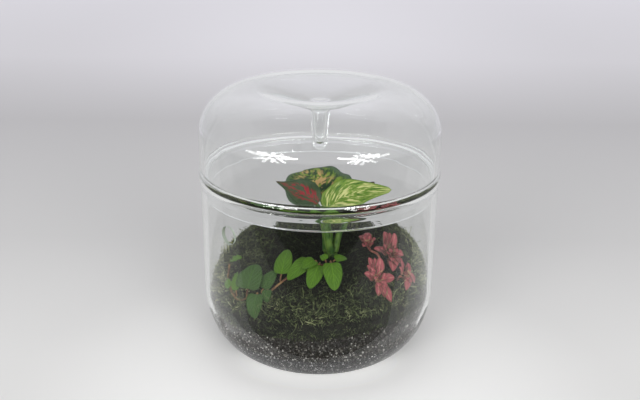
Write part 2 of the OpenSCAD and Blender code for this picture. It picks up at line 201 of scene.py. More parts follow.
def mound(share, angle):
    """Height of the moss at a share of the mound's radius and an angle."""
    hump = MOSS_HUMP * share * (1 - share) * 4
    hump *= math.sin(3 * angle + math.radians(40)) + 0.7 * math.sin(7 * angle)
    rise = (MOSS_PEAK - MOSS_EDGE) * (1 - share ** MOUND_SQUARE)
    return MOSS_EDGE + rise + MOSS_TILT * INNER_R * share * math.cos(angle) + hump


def mound_r(angle):
    return bowl_r(mound(1, angle) - MOSS_T - REST_GAP, FILL_GAP)


def mound_z(x, y):
    angle = math.atan2(y, x)
    return mound(min(1, math.hypot(x, y) / mound_r(angle)), angle)


def on_moss(place):
    """Point over the moss from a place [x, y, height] in the planting's own units."""
    x, y = place[0] * SPREAD, place[1] * SPREAD
    return Vector((x, y, mound_z(x, y) + place[2] * MM))


def moss_up(x, y, d=2 * MM):
    slope_x = mound_z(x - d, y) - mound_z(x + d, y)
    slope_y = mound_z(x, y - d) - mound_z(x, y + d)
    return Vector((slope_x, slope_y, 2 * d)).normalized()


# Modelling helpers

def select_only(*objects):
    bpy.ops.object.select_all(action="DESELECT")
    for obj in objects:
        obj.select_set(True)
    bpy.context.view_layer.objects.active = objects[0]


def named(name):
    obj = bpy.context.active_object
    obj.name = name
    obj.data.name = name
    return obj


def apply_modifier(obj, kind, **settings):
    select_only(obj)
    modifier = obj.modifiers.new(kind.lower(), kind)
    for key, value in settings.items():
        setattr(modifier, key, value)
    bpy.ops.object.modifier_apply(modifier=modifier.name)


def join(name, *objects):
    select_only(*objects)
    if len(objects) > 1:
        bpy.ops.object.join()
    return named(name)


def lathe(name, profile, steps=SPIN_STEPS):
    """Turns an outline of (radius, height) points about the Z axis."""
    bpy.ops.object.select_all(action="DESELECT")
    bpy.ops.mesh.primitive_plane_add(size=MM, location=(0, 0, 0))
    obj = named(name)
    bpy.ops.object.mode_set(mode="EDIT")
    bpy.ops.mesh.select_all(action="SELECT")
    bpy.ops.mesh.merge(type="CENTER")
    bpy.ops.transform.translate(value=(profile[0][0], 0, profile[0][1]))
    for (r_a, z_a), (r_b, z_b) in zip(profile, profile[1:]):
        step = {"value": (r_b - r_a, 0, z_b - z_a)}
        bpy.ops.mesh.extrude_vertices_move(TRANSFORM_OT_translate=step)
    bpy.ops.mesh.select_all(action="SELECT")
    bpy.ops.mesh.spin(steps=steps, angle=math.tau, center=(0, 0, 0), axis=(0, 0, 1))
    bpy.ops.mesh.select_all(action="SELECT")
    bpy.ops.mesh.remove_doubles(threshold=1e-6)
    bpy.ops.mesh.normals_make_consistent(inside=False)
    bpy.ops.object.mode_set(mode="OBJECT")
    bpy.ops.object.shade_smooth()
    return obj


def stalk(name, points, radii, sides=8):
    """A round stem along points, with its own radius at each of them."""
    curve = bpy.data.curves.new(name, "CURVE")
    curve.dimensions = "3D"
    curve.resolution_u = 5
    curve.bevel_depth = 1
    curve.bevel_resolution = sides // 4
    curve.use_fill_caps = True
    spline = curve.splines.new("BEZIER")
    spline.bezier_points.add(len(points) - 1)
    for knot, point, radius in zip(spline.bezier_points, points, radii):
        knot.co = point
        knot.radius = radius
        knot.handle_left_type = knot.handle_right_type = "AUTO"
    obj = bpy.data.objects.new(name, curve)
    bpy.context.scene.collection.objects.link(obj)
    select_only(obj)
    bpy.ops.object.convert(target="MESH")
    bpy.ops.object.shade_smooth()
    return named(name)


def copies_mesh(name, points, faces, shade):
    """One mesh of many small copies, with a shade from 0 to 1 for each point."""
    mesh = bpy.data.meshes.new(name)
    mesh.from_pydata(points.tolist(), [], faces.tolist())
    mesh.attributes.new("shade", "FLOAT", "POINT").data.foreach_set("value", shade.astype(np.float32))
    mesh.update()
    obj = bpy.data.objects.new(name, mesh)
    bpy.context.scene.collection.objects.link(obj)
    return obj


def finish_piece(obj, body, slot, *nodes):
    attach(obj, body)
    if nodes:
        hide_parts(*nodes)


# Material helpers

def set_inputs(tree, node, inputs):
    """Sets a node's inputs to values or to other nodes' sockets."""
    for key, value in inputs.items():
        if isinstance(value, bpy.types.NodeSocket):
            tree.links.new(value, node.inputs[key])
        else:
            node.inputs[key].default_value = value


def add(tree, kind, settings=None, inputs=None):
    """A new node with its settings and inputs."""
    node = tree.nodes.new("ShaderNode" + kind)
    for key, value in (settings or {}).items():
        setattr(node, key, value)
    set_inputs(tree, node, inputs or {})
    return node


def math_node(tree, operation, a, b=0.0):
    return add(tree, "Math", {"operation": operation}, {0: a, 1: b}).outputs[0]


def remap(tree, value, low, high, to_low=0.0, to_high=1.0):
    settings = {"interpolation_type": "SMOOTHSTEP"}
    inputs = {"Value": value, "From Min": low, "From Max": high, "To Min": to_low, "To Max": to_high}
    return add(tree, "MapRange", settings, inputs).outputs[0]


def blend_colour(tree, share, a, b):
    return add(tree, "Mix", {"data_type": "RGBA"}, {0: share, 6: a, 7: b}).outputs[2]


def ramp(tree, value, stops):
    node = add(tree, "ValToRGB", None, {0: value})
    points = node.color_ramp.elements
    while len(points) < len(stops):
        points.new(0.5)
    for point, (place, colour) in zip(points, stops):
        point.position = place
        point.color = colour
    return node.outputs[0]


def noise(tree, vector, scale, detail=3.0, rough=0.55):
    inputs = {"Vector": vector, "Scale": scale, "Detail": detail, "Roughness": rough}
    return add(tree, "TexNoise", None, inputs).outputs[0]


def object_place(tree):
    return add(tree, "TexCoord").outputs["Object"]


def new_material(name, **shader_values):
    """A material with one Principled shader, and that shader's plain values."""
    mat = bpy.data.materials.new(name)
    mat.use_nodes = True
    tree = mat.node_tree
    tree.nodes.clear()
    shader = add(tree, "BsdfPrincipled")
    for key, value in shader_values.items():
        shader.inputs[key.replace("_", " ")].default_value = value
    out = add(tree, "OutputMaterial", None, {"Surface": shader.outputs[0]})
    return mat, tree, shader, out


def bump(tree, shader, height, strength, distance):
    inputs = {"Height": height, "Strength": strength, "Distance": distance}
    node = add(tree, "Bump", None, inputs)
    tree.links.new(node.outputs[0], shader.inputs["Normal"])


def new_group(name, inputs, outputs):
    group = bpy.data.node_groups.new(name, "ShaderNodeTree")
    for socket, kind in inputs:
        group.interface.new_socket(name=socket, in_out="INPUT", socket_type="NodeSocket" + kind)
    for socket, kind in outputs:
        group.interface.new_socket(name=socket, in_out="OUTPUT", socket_type="NodeSocket" + kind)
    return group, group.nodes.new("NodeGroupInput"), group.nodes.new("NodeGroupOutput")


def use_group(tree, group, inputs):
    node = tree.nodes.new("ShaderNodeGroup")
    node.node_tree = group
    set_inputs(tree, node, inputs)
    return node


VEIN_MASKS = ("Margin", "Vein", "Midrib", "Streak", "Blotch")


def make_vein_group():
    """Leaf veins from a UV map with U across the blade and V along it."""
    group, given, out = new_group(
        "leaf_veins",
        [("UV", "Vector"), ("Veins", "Float"), ("Slant", "Float"), ("Seed", "Float")],
        [(mask, "Float") for mask in VEIN_MASKS],
    )
    split = add(group, "SeparateXYZ", None, {0: given.outputs["UV"]})
    centred = math_node(group, "SUBTRACT", split.outputs[0], 0.5)
    margin = math_node(group, "MULTIPLY", math_node(group, "ABSOLUTE", centred), 2.0)
    slanted = math_node(group, "MULTIPLY", margin, given.outputs["Slant"])
    along = math_node(group, "SUBTRACT", split.outputs[1], slanted)
    wave = math_node(group, "FRACT", math_node(group, "MULTIPLY", along, given.outputs["Veins"]))
    off = math_node(group, "ABSOLUTE", math_node(group, "SUBTRACT", wave, 0.5))
    vein = remap(group, off, 0.0, 0.16, 1.0, 0.0)
    midrib = remap(group, margin, 0.02, 0.1, 1.0, 0.0)
    side = math_node(group, "MULTIPLY", math_node(group, "SIGN", centred), 3.0)
    seed = math_node(group, "ADD", given.outputs["Seed"], side)

    def patches(along_scale, across_scale, scale, rough):
        place = {0: math_node(group, "MULTIPLY", along, along_scale),
                 1: math_node(group, "MULTIPLY", margin, across_scale),
                 2: seed}
        return noise(group, add(group, "CombineXYZ", None, place).outputs[0], scale, 4.0, rough)

    streak = patches(13.0, 2.4, 1.0, 0.65)
    blotch = patches(5.0, 2.2, 1.6, 0.6)
    for mask, value in zip(VEIN_MASKS, (margin, vein, midrib, streak, blotch)):
        group.links.new(value, out.inputs[mask])
    return group


vein_group = make_vein_group()


def leaf_veins(tree, veins, slant, seed):
    uv = add(tree, "UVMap").outputs[0]
    return use_group(tree, vein_group, {"UV": uv, "Veins": veins, "Slant": slant, "Seed": seed}).outputs


def glass_material(name, reflections, wave=0.0, wet=False):
    """Clear glass, which soft light goes straight through.

    So does light that was reflected more often than given, or that has passed too many walls.
    """
    mat, tree, shader, out = new_material(
        name, Base_Color=(0.985, 0.992, 0.988, 1), Roughness=0.0, IOR=GLASS_IOR, Transmission_Weight=1.0)
    place = object_place(tree)
    if wave:
        bump(tree, shader, noise(tree, place, GLASS_WAVE_SCALE, 0.0), 1.0, wave)
    if wet:
        uneven = remap(tree, noise(tree, place, WET_EDGE_SCALE), 0.3, 0.7, -WET_EDGE, WET_EDGE)
        height = math_node(tree, "ADD", add(tree, "SeparateXYZ", None, {0: place}).outputs[2], uneven)
        tree.links.new(remap(tree, height, *WET_RANGE, WET_IOR, GLASS_IOR), shader.inputs["IOR"])
    path = add(tree, "LightPath").outputs
    soft = math_node(tree, "MAXIMUM", path["Is Shadow Ray"], path["Is Diffuse Ray"])
    often = math_node(tree, "GREATER_THAN", path["Glossy Depth"], reflections + 0.5)
    deep = math_node(tree, "GREATER_THAN", path["Transmission Depth"], MOST_WALLS + 0.5)
    straight = math_node(tree, "MAXIMUM", soft, math_node(tree, "MAXIMUM", often, deep))
    clear = add(tree, "BsdfTransparent", None, {0: (0.97, 0.98, 0.975, 1)})
    inputs = {0: straight, 1: shader.outputs[0], 2: clear.outputs[0]}
    tree.links.new(add(tree, "MixShader", None, inputs).outputs[0], out.inputs[0])
    return mat


def grain_material(name, stops, roughness):
    """Loose grains: each takes its tone from its own shade."""
    mat, tree, shader, _ = new_material(name, Roughness=roughness)
    shade = add(tree, "Attribute", {"attribute_name": "shade"}).outputs["Fac"]
    place = object_place(tree)
    mottled = remap(tree, noise(tree, place, 900.0), 0.0, 1.0, -0.06, 0.06)
    tone = math_node(tree, "ADD", shade, mottled)
    tree.links.new(ramp(tree, tone, stops), shader.inputs["Base Color"])
    bump(tree, shader, noise(tree, place, 2500.0, 4.0), 0.4, 0.2 * MM)
    return mat


def strand_material(name, stops):
    """Moss strands: a tone for each, with patches of other tone, painted shade round the tall plant and a
    painted highlight on the flanks.
    """
    mat, tree, shader, _ = new_material(name, Roughness=0.85, Specular_IOR_Level=0.15)
    shade = add(tree, "Attribute", {"attribute_name": "shade"}).outputs["Fac"]
    place = object_place(tree)
    patch = remap(tree, noise(tree, place, 70.0, 3.0), 0.35, 0.7, -0.12, 0.14)
    # Painted shade: strands darker round the tall plant's foot, under its leaves
    spot = {0: place, 1: (*LEAF_SHADE_AT, MOSS_PEAK)}
    apart = add(tree, "VectorMath", {"operation": "DISTANCE"}, spot).outputs["Value"]
    leaf_shade = remap(tree, apart, *LEAF_SHADE_RANGE, LEAF_SHADE_DARKER, 0.0)
    # Painted highlight: strands paler towards the left and right flanks, where backlit strands glint
    aside = math_node(tree, "ABSOLUTE", add(tree, "SeparateXYZ", None, {0: place}).outputs[0])
    flank_glint = remap(tree, aside, *FLANK_GLINT_RANGE, 0.0, FLANK_GLINT)
    patched = math_node(tree, "ADD", shade, patch)
    tone = math_node(tree, "ADD", patched, math_node(tree, "ADD", leaf_shade, flank_glint))
    tree.links.new(ramp(tree, tone, stops), shader.inputs["Base Color"])
    return mat


def ground_material(name, dark, light, scale, depth):
    mat, tree, shader, _ = new_material(name, Roughness=0.9, Specular_IOR_Level=0.15)
    place = object_place(tree)
    mask = remap(tree, noise(tree, place, scale, 5.0, 0.65), 0.4, 0.7)
    tree.links.new(blend_colour(tree, mask, dark, light), shader.inputs["Base Color"])
    bump(tree, shader, noise(tree, place, scale * 3, 6.0, 0.7), 0.8, depth)
    return mat


def stem_material(name, low, high, scale):
    mat, tree, shader, _ = new_material(name, Roughness=0.55, Specular_IOR_Level=0.2)
    place = object_place(tree)
    mask = remap(tree, noise(tree, place, scale, 4.0), 0.35, 0.65)
    tree.links.new(blend_colour(tree, mask, low, high), shader.inputs["Base Color"])
    bump(tree, shader, noise(tree, place, scale * 6, 3.0), 0.3, 0.2 * MM)
    return mat


def new_leaf_material(name, veins, slant, seed):
    """A leaf's material with its shader, and the masks of the leaf's veins."""
    mat, tree, shader, _ = new_material(name, Roughness=0.5, Specular_IOR_Level=0.2)
    return mat, tree, shader, leaf_veins(tree, veins, slant, seed)


def colour_leaf(tree, shader, colour, relief, strength=0.25, depth=0.4 * MM):
    tree.links.new(colour, shader.inputs["Base Color"])
    bump(tree, shader, relief, strength, depth)


def red_leaf_material():
    mat, tree, shader, veins = new_leaf_material("leaf_red", 9.0, 0.35, 2.0)
    green = blend_colour(tree, veins["Streak"], (0.01, 0.024, 0.01, 1), (0.05, 0.08, 0.036, 1))
    inner = remap(tree, veins["Margin"], 0.4, 0.75, 1.0, 0.0)
    broken = remap(tree, veins["Streak"], 0.42, 0.5)
    patch = math_node(tree, "MULTIPLY", broken, remap(tree, veins["Blotch"], 0.45, 0.52))
    crimson = blend_colour(tree, veins["Streak"], (0.12, 0.006, 0.01, 1), (0.26, 0.014, 0.022, 1))
    share = math_node(tree, "MULTIPLY", inner, patch)
    colour = blend_colour(tree, share, green, crimson)
    colour_leaf(tree, shader, colour, veins["Vein"])
    return mat


def back_leaf_material():
    mat, tree, shader, veins = new_leaf_material("leaf_dark_variegated", 10.0, 0.4, 11.0)
    green = blend_colour(tree, veins["Streak"], (0.01, 0.032, 0.01, 1), (0.04, 0.085, 0.03, 1))
    sheen = remap(tree, veins["Margin"], 0.72, 0.95, 0.0, 0.7)
    green = blend_colour(tree, sheen, green, (0.085, 0.125, 0.078, 1))
    lime = remap(tree, veins["Streak"], 0.48, 0.55)
    near_rib = remap(tree, veins["Margin"], 0.65, 0.95, 1.0, 0.0)
    colour = blend_colour(tree, math_node(tree, "MULTIPLY", lime, near_rib), green, (0.16, 0.24, 0.03, 1))
    cream = remap(tree, veins["Blotch"], 0.5, 0.56)
    rib_zone = remap(tree, veins["Margin"], 0.3, 0.75, 1.0, 0.0)
    share = math_node(tree, "MULTIPLY", cream, rib_zone)
    colour = blend_colour(tree, share, colour, (0.46, 0.3, 0.12, 1))
    colour_leaf(tree, shader, colour, veins["Vein"])
    return mat


def cream_leaf_material():
    mat, tree, shader, veins = new_leaf_material("leaf_cream_variegated", 9.0, 0.45, 5.0)
    green = blend_colour(tree, veins["Blotch"], (0.05, 0.115, 0.01, 1), (0.16, 0.25, 0.03, 1))
    cream = remap(tree, veins["Streak"], 0.49, 0.55)
    inner = remap(tree, veins["Margin"], 0.7, 1.0, 1.0, 0.0)
    colour = blend_colour(tree, math_node(tree, "MULTIPLY", cream, inner), green, (0.42, 0.42, 0.17, 1))
    dark = remap(tree, veins["Streak"], 0.36, 0.44, 0.9, 0.0)
    colour = blend_colour(tree, dark, colour, (0.022, 0.08, 0.01, 1))
    colour_leaf(tree, shader, colour, veins["Vein"])
    return mat


def green_leaf_material(name, dark, light):
    mat, tree, shader, veins = new_leaf_material(name, 6.0, 0.5, 1.0)
    colour = blend_colour(tree, veins["Blotch"], dark, light)
    ribs = math_node(tree, "MAXIMUM", veins["Vein"], veins["Midrib"])
    vein_colour = tuple(min(1.0, 1.5 * c) for c in light[:3]) + (1,)
    colour = blend_colour(tree, math_node(tree, "MULTIPLY", ribs, 0.35), colour, vein_colour)
    colour_leaf(tree, shader, colour, math_node(tree, "SUBTRACT", 1.0, ribs), 0.5)
    return mat


def pink_leaf_material():
    mat, tree, shader, veins = new_leaf_material("leaf_pink", 7.0, 0.5, 8.0)
    pink = blend_colour(tree, veins["Blotch"], (0.13, 0.022, 0.03, 1), (0.4, 0.088, 0.1, 1))
    split = add(tree, "SeparateXYZ", None, {0: add(tree, "UVMap").outputs[0]})
    heart = remap(tree, split.outputs[1], 0.0, 0.4, 1.0, 0.0)
    colour = blend_colour(tree, heart, pink, (0.36, 0.25, 0.13, 1))
    rib = remap(tree, veins["Margin"], 0.0, 0.3, 0.55, 0.0)
    pale = math_node(tree, "MULTIPLY", rib, remap(tree, veins["Streak"], 0.35, 0.6))
    colour = blend_colour(tree, pale, colour, (0.5, 0.27, 0.2, 1))
    rim = remap(tree, veins["Margin"], 0.72, 0.95)
    colour = blend_colour(tree, math_node(tree, "MULTIPLY", rim, 0.75), colour, (0.05, 0.045, 0.022, 1))
    colour_leaf(tree, shader, colour, veins["Vein"], 0.3, 0.3 * MM)
    return mat


# Glass

def bead_curve():
    """Outer side of the glass where it swells into the bead of a rim, upwards."""
    return [(JAR_R + BEAD * (1 - math.cos(a)) / 2, BEAD_H * a / math.pi) for a in sweep(0, 180, 10)]


def jar_profile():
    punt_r = FOOT_R - FOOT_RING_W
    punt = [(punt_r * i / 8, PUNT_H * (1 - (i / 8) ** 2)) for i in range(9)]
    outside = [(FOOT_R + (JAR_R - FOOT_R) * math.sin(a), HEEL_H * (1 - math.cos(a)))
               for a in sweep(0, 90, CURVE_STEPS)]
    half = (JAR_WALL + BEAD) / 2
    swell = [(r, JAR_H - half - BEAD_H + z) for r, z in bead_curve()]
    rim = corner(INNER_R + half, JAR_H - half, half, 0, 180, 14)
    inside = [(FOOT_R + (INNER_R - FOOT_R) * math.sin(a), FLOOR_T + (HEEL_H - FLOOR_T) * (1 - math.cos(a)))
              for a in sweep(90, 0, CURVE_STEPS)]
    return punt + outside + swell + rim[1:] + inside + [(0, FLOOR_T)]


def super_quarter(centre, size_r, size_z, start, end):
    """Quarter of a superellipse between its side, at 0 degrees, and its top, at 90."""
    power = 2 / SHOULDER_SQUARE
    return [(centre[0] + size_r * max(0, math.cos(a)) ** power,
             centre[1] + size_z * max(0, math.sin(a)) ** power)
            for a in sweep(start, end, CURVE_STEPS)]


def corner(centre_r, centre_z, radius, start, end, steps=8):
    """An arc about a centre, between two angles in degrees."""
    return [(centre_r + radius * math.cos(a), centre_z + radius * math.sin(a))
            for a in sweep(start, end, steps)]


def dish(lip_z, lip_r, round_r):
    """Curve of the crown's dish, from just inside its lip down to the flare of the stem."""
    way = Vector((math.cos(DISH_SLOPE), math.sin(DISH_SLOPE)))
    foot = Vector((STEM_R + STEM_ROUND, FLARE_H)) + round_r * Vector((-way.y, way.x))
    points = [Vector((CROWN_R, lip_z)), Vector((lip_r, lip_z)), foot + DISH_RUN * way, foot]
    return [tuple(bezier(points, (i + 1) / CURVE_STEPS)) for i in range(CURVE_STEPS)]


def lid_profile():
    """Outline of the lid from the bottom of the stem's bore, over the crown and back to the stem's tip."""
    under_h = LID_H - LID_WALL
    wall_r = JAR_R - LID_WALL
    flare_r = STEM_R + STEM_ROUND
    throat_r = STEM_ROUND + STEM_WALL
    flat = 90 + math.degrees(DISH_SLOPE)
    bore_tip_r = TIP_R - STEM_WALL
    collar_in = COLLAR_R - COLLAR_T
    bore = corner(0, TIP_H + TIP_T + bore_tip_r, bore_tip_r, -90, 0)
    throat = corner(flare_r, FLARE_H, throat_r, 180, flat)
    shoulder = super_quarter((CROWN_R, LID_SIDE_H), JAR_R - CROWN_R, LID_H - LID_SIDE_H, 90, 0)
    swell = [(r, RIM_ROUND + BEAD_H - z) for r, z in bead_curve()]
    rim = corner(JAR_R + BEAD - RIM_ROUND, RIM_ROUND, RIM_ROUND, 0, -90)
    seat = corner(COLLAR_R + SEAT_FILLET, -SEAT_FILLET, SEAT_FILLET, 90, 180)
    half = COLLAR_T / 2
    lip = corner(COLLAR_R - half, -COLLAR_DEPTH + half, half, 0, -180, 12)
    draw_in = [(mix(wall_r, collar_in, 0.5 + 0.5 * math.cos(a)),
                COLLAR_BLEND_H * ((1 + COLLAR_BLEND_BELOW) * a / math.pi - COLLAR_BLEND_BELOW))
               for a in sweep(0, 180, 16)]
    shoulder_under = super_quarter((CROWN_R, LID_SIDE_H), wall_r - CROWN_R, under_h - LID_SIDE_H, 0, 90)
    stem = corner(flare_r, FLARE_H, STEM_ROUND, flat, 180)
    tip = corner(0, TIP_H + TIP_R, TIP_R, 0, -90)
    dish_top = dish(LID_H, DISH_LIP_R, throat_r)[-2::-1]
    dish_under = dish(under_h, DISH_LIP_R + 0.6 * LID_WALL, STEM_ROUND)[:-1]
    outline = (bore + throat + dish_top + shoulder + swell + rim[1:] + seat + lip + draw_in
               + shoulder_under + dish_under + stem + tip)
    return [(max(0, r), z + LID_Z) for r, z in outline]


def cut_vent(jar):
    """Drills the vent hole through the jar's wall."""
    middle = VENT_WAY * (JAR_R - JAR_WALL / 2) + Vector((0, 0, VENT_Z))
    bpy.ops.object.select_all(action="DESELECT")
    bpy.ops.mesh.primitive_cylinder_add(vertices=64, radius=VENT_R, depth=6 * JAR_WALL, location=middle,
                                        rotation=VENT_WAY.to_track_quat("Z", "Y").to_euler())
    drill = named("vent_drill")
    apply_modifier(jar, "BOOLEAN", object=drill, operation="DIFFERENCE", solver="EXACT")
    bpy.data.objects.remove(drill)
    select_only(jar)
    bpy.ops.object.shade_smooth_by_angle(angle=math.radians(35))


def dress_jar(jar):
    """Gives the wet part of the inside, and the ground edge of the vent, their own glass."""
    jar.data.materials.append(glass_material("wet_glass", 0, wet=True))
    ground, _, _, _ = new_material("vent_edge", Base_Color=(0.3, 0.34, 0.28, 1), Roughness=0.35)
    jar.data.materials.append(ground)
    wet, edge = 1, 2
    for face in jar.data.polygons:
        c = face.center
        off = c - Vector((0, 0, VENT_Z))
        ahead = off.dot(VENT_WAY)
        from_axis = (off - VENT_WAY * ahead).length
        on_floor = FLOOR_T * 0.9 < c.z < FLOOR_T * 1.1
        inside = face.normal.x * c.x + face.normal.y * c.y < 0 or on_floor
        in_vent = ahead > 0 and abs(from_axis - VENT_R) < VENT_EDGE_NEAR
        if inside and FLOOR_T * 0.9 < c.z < HEEL_H:
            face.material_index = wet
        elif in_vent and abs(face.normal.dot(VENT_WAY)) < 0.5:
            face.material_index = edge


jar = lathe("terrarium_jar", jar_profile())
cut_vent(jar)
lid = lathe("terrarium_lid", lid_profile())
for piece, body, reflections, wave in ((jar, "jar", 0, 0), (lid, "lid", 1, LID_WAVE)):
    piece.data.materials.append(glass_material(body + "_glass", reflections, wave))
    finish_piece(piece, body, "clear_glass", "glass_" + body)
dress_jar(jar)
lid.data.materials.append(glass_material("crown_glass", 0, LID_WAVE))
for face in lid.data.polygons:
    face.material_index = int(face.center.z > LID_Z + CROWN_GLASS_FROM * LID_H)


# Ground

def grain_shape():
    """Points and triangles of one grain, of radius 1."""
    bpy.ops.object.select_all(action="DESELECT")
    bpy.ops.mesh.primitive_ico_sphere_add(subdivisions=1, radius=1)
    grain = bpy.context.active_object
    points = np.array([v.co for v in grain.data.vertices])
    faces = np.array([p.vertices for p in grain.data.polygons])
    bpy.data.objects.remove(grain)
    return points, faces


def turns(count):
    """Random rotation matrices."""
    q = random_draw.normal(size=(count, 4))
    w, x, y, z = (q / np.linalg.norm(q, axis=1, keepdims=True)).T
    cells = [1 - 2 * (y * y + z * z), 2 * (x * y - w * z), 2 * (x * z + w * y),
             2 * (x * y + w * z), 1 - 2 * (x * x + z * z), 2 * (y * z - w * x),
             2 * (x * z - w * y), 2 * (y * z + w * x), 1 - 2 * (x * x + y * y)]
    return np.stack(cells, axis=1).reshape(-1, 3, 3)


def scatter_grains(name, places, sizes, shades):
    points, faces = grain_shape()
    count = len(places)
    stretch = random_draw.uniform(0.65, 1.25, (count, 1, 3))
    rough = points[None] * random_draw.uniform(0.75, 1.2, (count, len(points), 1)) * stretch
    shaped = np.einsum("nij,npj->npi", turns(count), rough) * sizes[:, None, None] + places[:, None]
    step = np.arange(count)[:, None, None] * len(points)
    return copies_mesh(name, shaped.reshape(-1, 3), (faces[None] + step).reshape(-1, 3),
                       np.repeat(shades, len(points)))


def bowl_places(angles, heights, sink):
    """Places on the inside of the bowl, a little behind the glass."""
    radii = np.array([bowl_r(max(z, FLOOR_T + FILL_GAP), FILL_GAP) for z in heights]) - sink
    return np.stack([radii * np.cos(angles), radii * np.sin(angles), heights], axis=1)


GRIT_TONES = [(0.0, (0.01, 0.01, 0.012, 1)), (0.38, (0.035, 0.034, 0.035, 1)),
              (0.55, (0.08, 0.077, 0.077, 1)), (0.8, (0.24, 0.23, 0.225, 1)),
              (1.0, (0.7, 0.68, 0.66, 1))]
GRIT_GRAIN_R = 0.72 * MM
GRIT_SIDE_GRAINS = 8000
GRIT_FLOOR_GRAINS = 1600
GRIT_DARK_POWER = 2.3
SOIL_TONES = [(0.0, (0.006, 0.005, 0.004, 1)), (0.5, (0.03, 0.027, 0.023, 1)),
              (0.85, (0.11, 0.1, 0.085, 1)), (1.0, (0.45, 0.43, 0.4, 1))]
CRUMB_R = 0.9 * MM
CRUMBS = 5200


def make_grit():
    bottom = FLOOR_T + REST_GAP
    inset = GRIT_GRAIN_R
    low, high = bottom + inset, GRIT_H - inset
    side = [(bowl_r(max(z, FLOOR_T + FILL_GAP), FILL_GAP) - inset, z)
            for z in [mix(low, high, (i / 12) ** 2) for i in range(13)]]
    core = lathe("grit_core", [(0, low)] + side + [(0, high)], 96)
    dark, light = (0.01, 0.01, 0.01, 1), (0.08, 0.078, 0.078, 1)
    core.data.materials.append(ground_material("grit_core", dark, light, 900.0, 0.4 * MM))
    angles = random_draw.uniform(0, math.tau, GRIT_SIDE_GRAINS)
    on_side = bowl_places(angles, random_draw.uniform(low, GRIT_H, len(angles)), inset)
    radius = np.sqrt(random_draw.uniform(0, 1, GRIT_FLOOR_GRAINS)) * (FOOT_R + 2 * MM)
    angle = random_draw.uniform(0, math.tau, GRIT_FLOOR_GRAINS)
    level = np.full(GRIT_FLOOR_GRAINS, low)
    on_floor = np.stack([radius * np.cos(angle), radius * np.sin(angle), level], axis=1)
    places = np.concatenate([on_side, on_floor])
    sizes = GRIT_GRAIN_R * random_draw.uniform(0.55, 1.1, len(places))
    shades = random_draw.uniform(0, 1, len(places)) ** GRIT_DARK_POWER
    grains = scatter_grains("grit_grains", places, sizes, shades)
    grains.data.materials.append(grain_material("grit", GRIT_TONES, 0.6))
    grit = join("drainage_grit", grains, core)
    finish_piece(grit, "jar", "grit", "grit_layer")


def make_soil():
    """The soil heap: a closed core that fills the bowl between grit and moss, and crumbs along the glass."""
    low = GRIT_H + REST_GAP
    depth = MOSS_T + REST_GAP
    rings = 20
    side = [(1.0, i / 12) for i in range(13)]
    top = [(math.cos(math.radians(90 * i / rings)), 1.0 + i) for i in range(1, rings)]
    core = lathe("soil_core", [(0, 0)] + side + top + [(0, 1.0 + rings)], 128)
    for v in core.data.vertices:
        angle = math.atan2(v.co.y, v.co.x)
        share = math.hypot(v.co.x, v.co.y)
        if v.co.z > 1.001:
            radius, height = share * (mound_r(angle) - CRUMB_R), mound(share, angle) - depth
        else:
            height = mix(low, mound(1, angle) - depth, v.co.z)
            radius = share * (bowl_r(height, FILL_GAP) - CRUMB_R)
        v.co = (radius * math.cos(angle), radius * math.sin(angle), height)
    dark, light = (0.005, 0.004, 0.003, 1), (0.03, 0.025, 0.02, 1)
    core.data.materials.append(ground_material("soil_core", dark, light, 500.0, 0.8 * MM))
    angles = random_draw.uniform(0, math.tau, CRUMBS)
    rises = random_draw.uniform(0, 1, CRUMBS)
    heights = np.array([mix(low, mound(1, a) - depth, s) for a, s in zip(angles, rises)])
    places = bowl_places(angles, heights, CRUMB_R)
    sizes = CRUMB_R * random_draw.uniform(0.4, 1.1, len(places))
    # Pale grains, more of them low down where the grit begins
    depth_share = (heights - low) / (MOSS_EDGE - low)
    pale = random_draw.uniform(0, 1, len(places)) < 0.5 * np.exp(-depth_share / 0.25) + 0.03
    bright = random_draw.uniform(0.8, 1, len(places))
    dull = random_draw.uniform(0, 0.85, len(places))
    shades = np.where(pale, bright, dull)
    crumbs = scatter_grains("soil_crumbs", places, sizes, shades)
    crumbs.data.materials.append(grain_material("soil", SOIL_TONES, 0.8))
    soil = join("soil_heap", crumbs, core)
    finish_piece(soil, "jar", "soil", "soil_bed")


make_grit()
make_soil()


# Moss

MOSS_TONES = [(0.0, (0.009, 0.011, 0.006, 1)), (0.42, (0.025, 0.031, 0.014, 1)),
              (0.66, (0.068, 0.088, 0.034, 1)), (0.86, (0.16, 0.19, 0.075, 1)),
              (1.0, (0.42, 0.43, 0.23, 1))]
MOSS_RINGS = 40
MOSS_SINK = 0.6 * MM
STRANDS = 15000
LONG_STRANDS = 1200

# Strands are picked by a number from 0 to 1: the first stand round the edge, the last hang on the side
EDGE_UP_TO = 0.25
EDGE_RING = (0.86, 0.99)
EDGE_THICKER = 1.5
EDGE_STEEPER = 1.7
# Painted highlight: strands round the edge a little paler, where the moss's outline glints
EDGE_GLINT = 0.05
SIDE_FROM = 0.86


def moss_lift(x, y, share):
    """Small lumps of the moss about the mound, which fade out at its edge."""
    place = Vector((x, y, 0)) / MM
    lump = MM * (1.3 * lumps.noise(place / 14) + 0.7 * lumps.noise(place / 5))
    return lump * (1 - share ** 12) - MOSS_SINK


